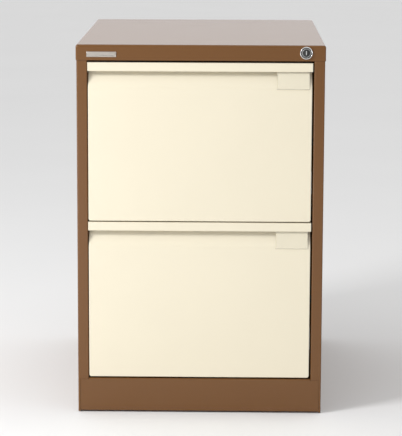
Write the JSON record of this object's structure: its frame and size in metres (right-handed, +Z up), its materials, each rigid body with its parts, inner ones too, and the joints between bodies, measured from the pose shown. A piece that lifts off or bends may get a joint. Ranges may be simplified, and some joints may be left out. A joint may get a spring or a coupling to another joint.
{
  "type": "metal filing cabinet",
  "caption": "Upright steel filing cabinet with full-width drawers on ball-bearing slides, recessed pull lips, label holders, a corner lock and a plinth.",
  "frame": {"origin": "centre of the footprint on the floor, under the middle of the bounding box", "axes": "+Z up, drawers open towards -Y, +X to the right seen from the front"},
  "size_m": [0.47, 0.622, 0.711],
  "materials": {
    "brown_enamel": "semi-gloss stove enamel, coffee brown",
    "cream_enamel": "semi-gloss stove enamel, cream",
    "galvanised_slide_steel": "bright zinc plate",
    "zinc_plated_steel": "zinc plate",
    "bearing_steel": "polished",
    "lock_chrome": "polished",
    "lock_plug_nickel": "satin nickel",
    "satin_aluminium": "satin",
    "black_plastic": "moulded",
    "black_rubber": "matt",
    "clear_plastic": "clear moulding",
    "label_card": "plain card"
  },
  "bodies": {
    "carcass": {"back_panel": "brown_enamel", "base_pan": "brown_enamel", "foot_nuts": "zinc_plated_steel", "glide_feet": "black_plastic", "left_front_post": "brown_enamel", "left_rear_post": "brown_enamel", "left_side_panel": "brown_enamel", "lock_bar_guides": "black_plastic", "lock_housing": "lock_chrome", "lock_nut": "zinc_plated_steel", "lower_left_slide_outer": "galvanised_slide_steel", "lower_right_slide_outer": "galvanised_slide_steel", "nameplate": "satin_aluminium", "plinth": "brown_enamel", "right_front_post": "brown_enamel", "right_rear_post": "brown_enamel", "right_side_panel": "brown_enamel", "slide_buffers": "black_rubber", "slide_rivets": "zinc_plated_steel", "top_panel": "brown_enamel", "top_stiffener": "brown_enamel", "upper_left_slide_outer": "galvanised_slide_steel", "upper_right_slide_outer": "galvanised_slide_steel"},
    "upper_drawer": {"upper_drawer_back": "cream_enamel", "upper_drawer_bottom": "cream_enamel", "upper_drawer_rivets": "zinc_plated_steel", "upper_front_liner": "cream_enamel", "upper_front_panel": "cream_enamel", "upper_label_card": "label_card", "upper_label_holder": "clear_plastic", "upper_left_drawer_side": "cream_enamel", "upper_left_slide_inner": "galvanised_slide_steel", "upper_lock_striker": "zinc_plated_steel", "upper_right_drawer_side": "cream_enamel", "upper_right_slide_inner": "galvanised_slide_steel"},
    "upper_slide_middles": {"upper_left_slide_middle": "galvanised_slide_steel", "upper_right_slide_middle": "galvanised_slide_steel"},
    "upper_outer_cages": {"upper_outer_ball_cages": "bearing_steel"},
    "upper_inner_cages": {"upper_inner_ball_cages": "bearing_steel"},
    "lower_drawer": {"lower_drawer_back": "cream_enamel", "lower_drawer_bottom": "cream_enamel", "lower_drawer_rivets": "zinc_plated_steel", "lower_front_liner": "cream_enamel", "lower_front_panel": "cream_enamel", "lower_label_card": "label_card", "lower_label_holder": "clear_plastic", "lower_left_drawer_side": "cream_enamel", "lower_left_slide_inner": "galvanised_slide_steel", "lower_lock_striker": "zinc_plated_steel", "lower_right_drawer_side": "cream_enamel", "lower_right_slide_inner": "galvanised_slide_steel"},
    "lower_slide_middles": {"lower_left_slide_middle": "galvanised_slide_steel", "lower_right_slide_middle": "galvanised_slide_steel"},
    "lower_outer_cages": {"lower_outer_ball_cages": "bearing_steel"},
    "lower_inner_cages": {"lower_inner_ball_cages": "bearing_steel"},
    "lock_plug": {"lock_cam": "zinc_plated_steel", "lock_plug": "lock_plug_nickel"},
    "lock_bar": {"lock_bar": "zinc_plated_steel"}
  },
  "joints": [
    {"name": "upper_drawer_slide", "type": "slide", "parent": "carcass", "child": "upper_drawer", "axis": [0, -1, 0], "range_m": [0, 0.53]},
    {"name": "upper_slide_middles_slide", "type": "slide", "parent": "carcass", "child": "upper_slide_middles", "axis": [0, -1, 0], "range_m": [0, 0.2655]},
    {"name": "upper_outer_cages_slide", "type": "slide", "parent": "carcass", "child": "upper_outer_cages", "axis": [0, -1, 0], "range_m": [0, 0.133]},
    {"name": "upper_inner_cages_slide", "type": "slide", "parent": "carcass", "child": "upper_inner_cages", "axis": [0, -1, 0], "range_m": [0, 0.398]},
    {"name": "lower_drawer_slide", "type": "slide", "parent": "carcass", "child": "lower_drawer", "axis": [0, -1, 0], "range_m": [0, 0.53]},
    {"name": "lower_slide_middles_slide", "type": "slide", "parent": "carcass", "child": "lower_slide_middles", "axis": [0, -1, 0], "range_m": [0, 0.2655]},
    {"name": "lower_outer_cages_slide", "type": "slide", "parent": "carcass", "child": "lower_outer_cages", "axis": [0, -1, 0], "range_m": [0, 0.133]},
    {"name": "lower_inner_cages_slide", "type": "slide", "parent": "carcass", "child": "lower_inner_cages", "axis": [0, -1, 0], "range_m": [0, 0.398]},
    {"name": "lock_turn", "type": "hinge", "parent": "carcass", "child": "lock_plug", "pos_m": [0.198, -0.3, 0.697], "axis": [0, 1, 0], "range_deg": [0, 90]},
    {"name": "lock_bar_drop", "type": "slide", "parent": "carcass", "child": "lock_bar", "axis": [0, 0, -1], "range_m": [0, 0.01]}
  ],
  "couplings": [
    {"joint": "upper_slide_middles_slide", "follows": "upper_drawer_slide", "ratio": 0.5},
    {"joint": "upper_outer_cages_slide", "follows": "upper_drawer_slide", "ratio": 0.25},
    {"joint": "upper_inner_cages_slide", "follows": "upper_drawer_slide", "ratio": 0.75},
    {"joint": "lower_slide_middles_slide", "follows": "lower_drawer_slide", "ratio": 0.5},
    {"joint": "lower_outer_cages_slide", "follows": "lower_drawer_slide", "ratio": 0.25},
    {"joint": "lower_inner_cages_slide", "follows": "lower_drawer_slide", "ratio": 0.75},
    {"joint": "lock_turn", "follows": "lock_bar_drop", "rad_per_m": 157.08}
  ]
}
